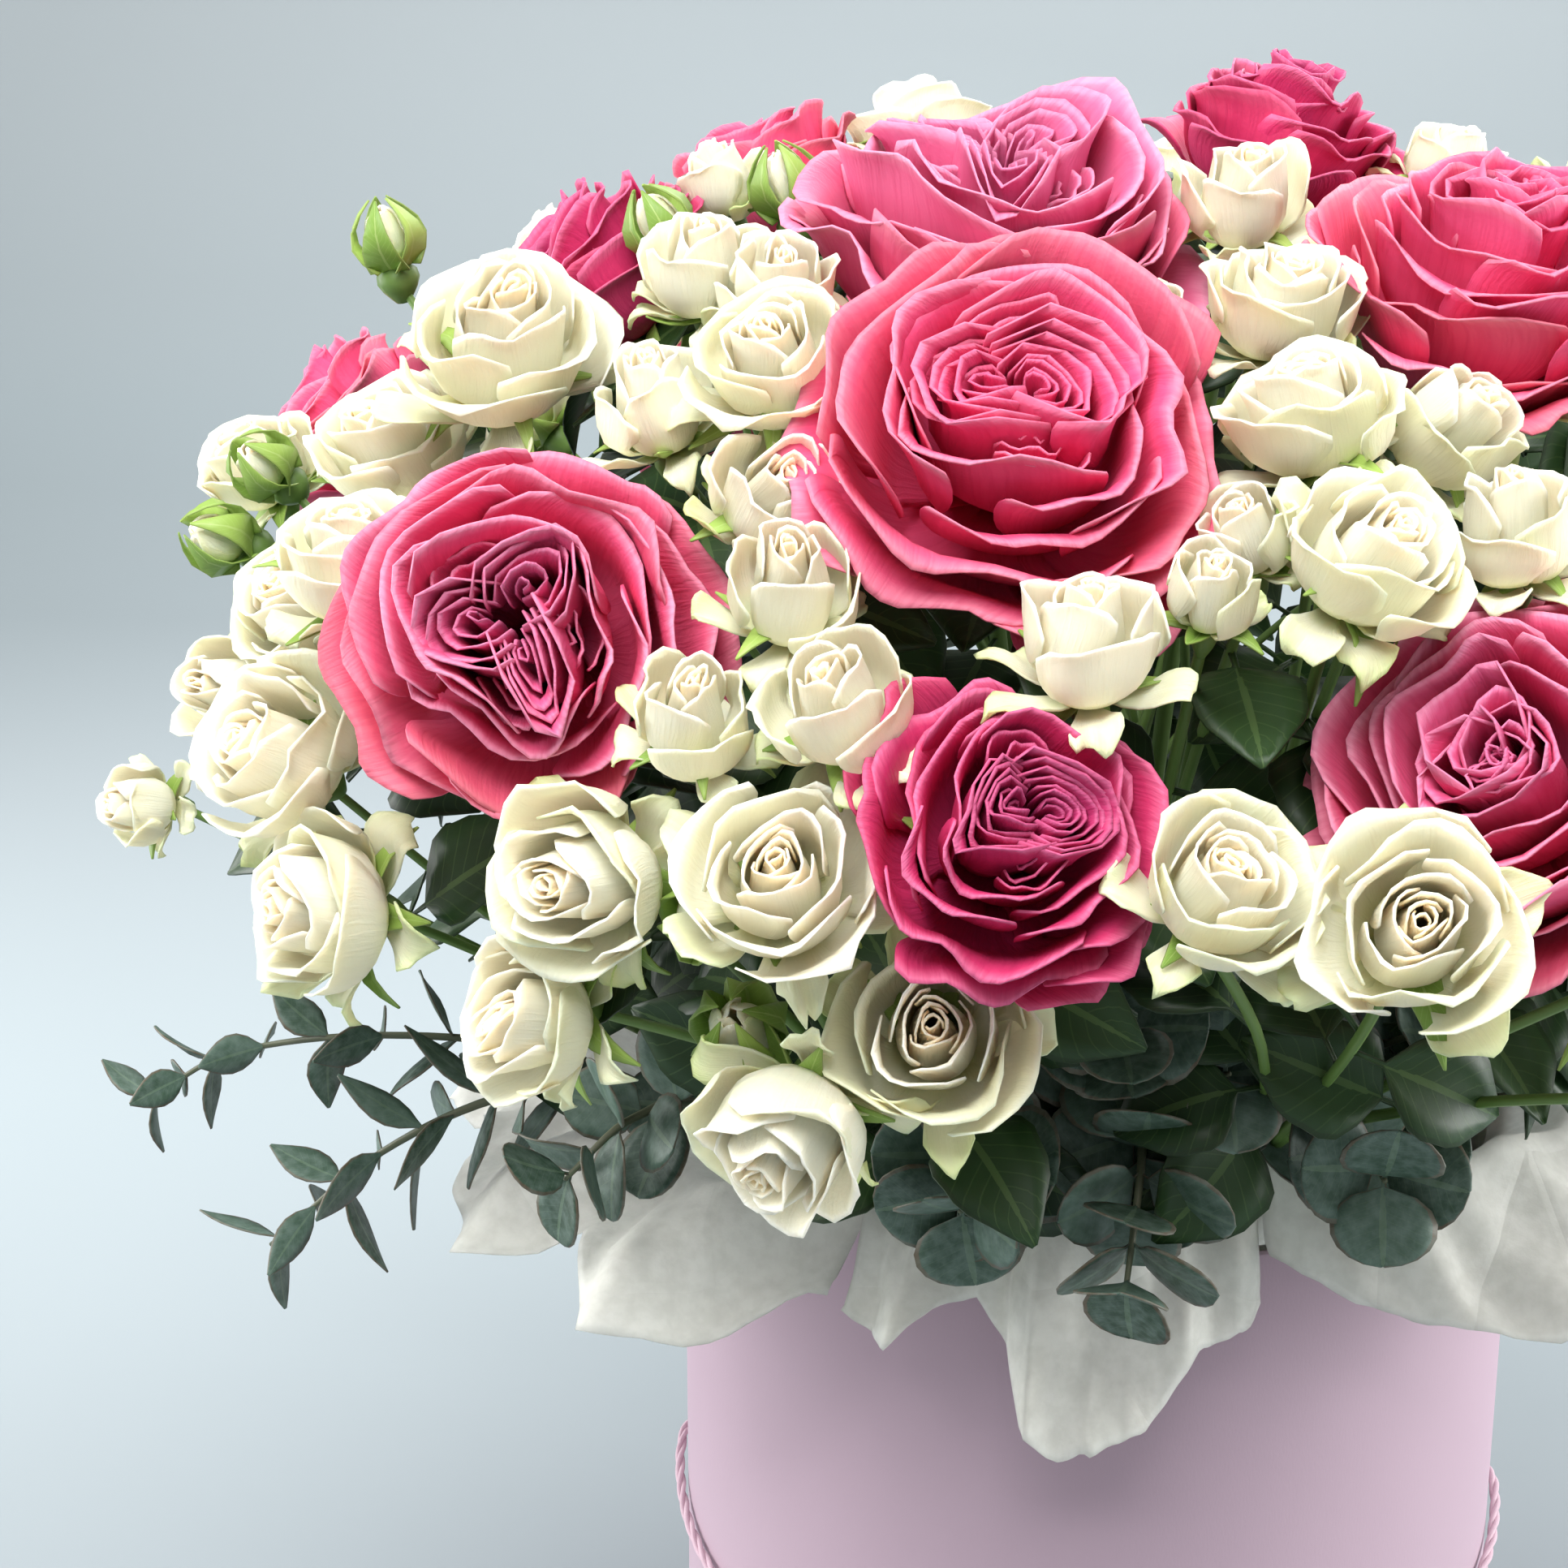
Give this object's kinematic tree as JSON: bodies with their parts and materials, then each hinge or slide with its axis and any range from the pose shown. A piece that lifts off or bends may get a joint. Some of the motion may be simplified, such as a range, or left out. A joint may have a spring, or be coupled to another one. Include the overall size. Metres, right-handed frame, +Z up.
{
  "type": "flower hat box",
  "caption": "Round card hat box with a cord handle and tissue collar, holding a dome of pink garden roses, white spray roses and eucalyptus in foam.",
  "frame": {"origin": "centre of the box's flat base, in the plane it rests on", "axes": "+Z up along the box's axis; -Y towards the pictured front; +X to the right in the picture"},
  "size_m": [0.5588, 0.5358, 0.546],
  "materials": {
    "blush_card": "matte lilac-pink card",
    "kraft_board": "matte board",
    "liner_film": "thin cloudy plastic",
    "flower_foam": "open-cell foam, wet",
    "pink_cord": "twisted cord",
    "tissue_paper": "creased, slightly translucent",
    "pink_petals": "soft, velvety",
    "rose_green": "soft, satin green",
    "white_petals": "soft, velvety",
    "gum_leaves": "matte, waxy bloom"
  },
  "bodies": {
    "root": {"box_wall": "blush_card", "box_base": "kraft_board", "liner": "liner_film", "foam": "flower_foam", "cord": "pink_cord", "cord_knot_left": "pink_cord", "cord_knot_right": "pink_cord", "tissue_front": "tissue_paper", "tissue_right": "tissue_paper", "tissue_back": "tissue_paper", "tissue_left": "tissue_paper", "rose_1": "pink_petals", "rose_2": "pink_petals", "rose_3": "pink_petals", "rose_4": "pink_petals", "rose_5": "pink_petals", "rose_6": "pink_petals", "rose_7": "pink_petals", "rose_8": "pink_petals", "rose_9": "pink_petals", "rose_10": "pink_petals", "rose_11": "pink_petals", "rose_12": "pink_petals", "rose_13": "pink_petals", "rose_1_stem": "rose_green", "rose_2_stem": "rose_green", "rose_3_stem": "rose_green", "rose_4_stem": "rose_green", "rose_5_stem": "rose_green", "rose_6_stem": "rose_green", "rose_7_stem": "rose_green", "rose_8_stem": "rose_green", "rose_9_stem": "rose_green", "rose_10_stem": "rose_green", "rose_11_stem": "rose_green", "rose_12_stem": "rose_green", "rose_13_stem": "rose_green", "spray_1": "white_petals", "spray_2": "white_petals", "spray_3": "white_petals", "spray_4": "white_petals", "spray_5": "white_petals", "spray_6": "white_petals", "spray_7": "white_petals", "spray_8": "white_petals", "spray_9": "white_petals", "spray_10": "white_petals", "spray_11": "white_petals", "spray_12": "white_petals", "spray_13": "white_petals", "spray_14": "white_petals", "spray_15": "white_petals", "spray_16": "white_petals", "eucalyptus_1": "gum_leaves", "eucalyptus_2": "gum_leaves", "eucalyptus_3": "gum_leaves", "eucalyptus_4": "gum_leaves", "eucalyptus_5": "gum_leaves", "eucalyptus_6": "gum_leaves", "eucalyptus_7": "gum_leaves"}
  },
  "joints": []
}
